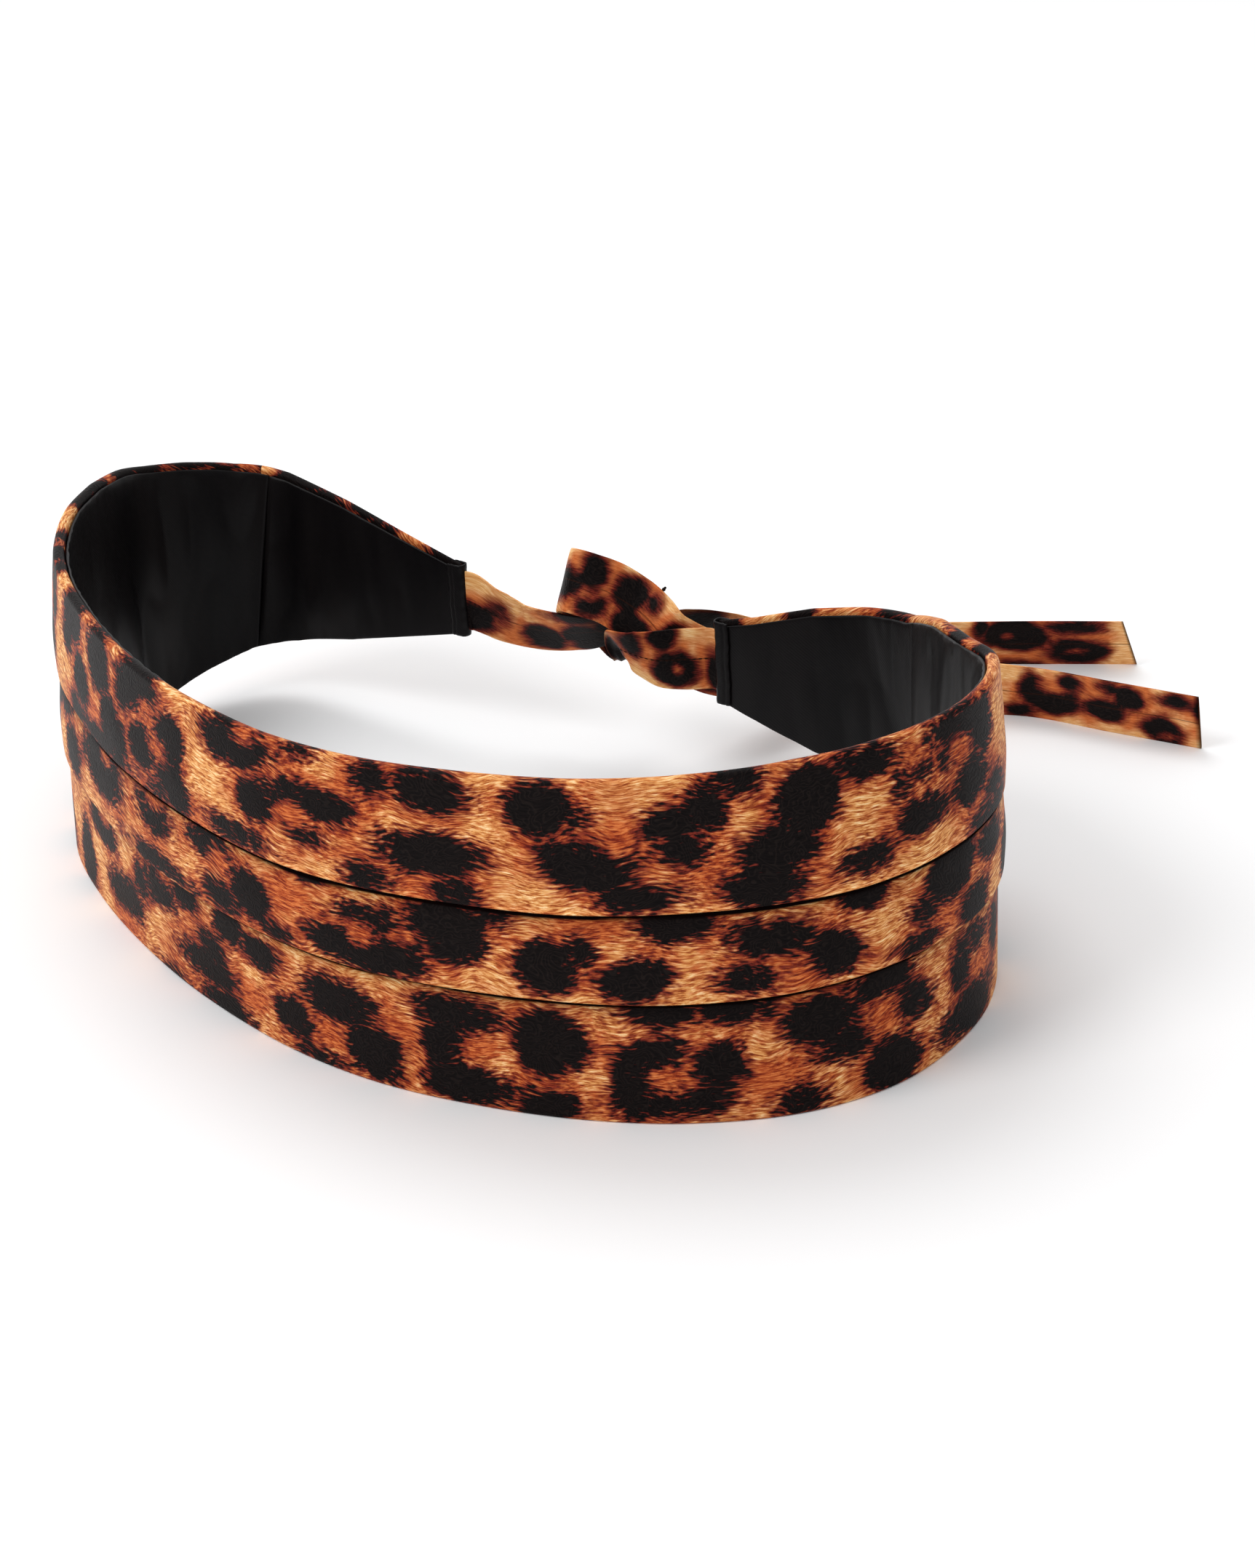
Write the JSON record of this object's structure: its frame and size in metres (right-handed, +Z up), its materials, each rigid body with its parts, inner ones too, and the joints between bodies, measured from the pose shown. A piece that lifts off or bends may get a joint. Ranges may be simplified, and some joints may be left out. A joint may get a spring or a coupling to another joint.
{
  "type": "cummerbund",
  "caption": "Pleated waist sash of printed satin with a black lining, standing on its lower hem, its narrow ties crossed in a loose half knot behind.",
  "frame": {"origin": "On the surface that the part stands on, in the middle of the width of the lower hem at its foremost point.", "axes": "+Z up, -Y out of the pleated front, +X to the right of someone who looks at the front. The ties and their tails are on the +Y side."},
  "size_m": [0.4013, 0.406, 0.1199],
  "materials": {
    "printed_satin": "soft satin with a leopard spot print, golden tan ground and near-black spots",
    "black_lining": "smooth black satin lining, soft low sheen"
  },
  "bodies": {
    "root": {"front_shell": "printed_satin", "back_panel_left": "printed_satin", "back_panel_right": "printed_satin", "lining_front": "black_lining", "lining_left": "black_lining", "lining_right": "black_lining", "end_tab_left": "black_lining", "end_tab_right": "black_lining", "tie_left": "printed_satin", "tie_right": "printed_satin"}
  },
  "joints": []
}
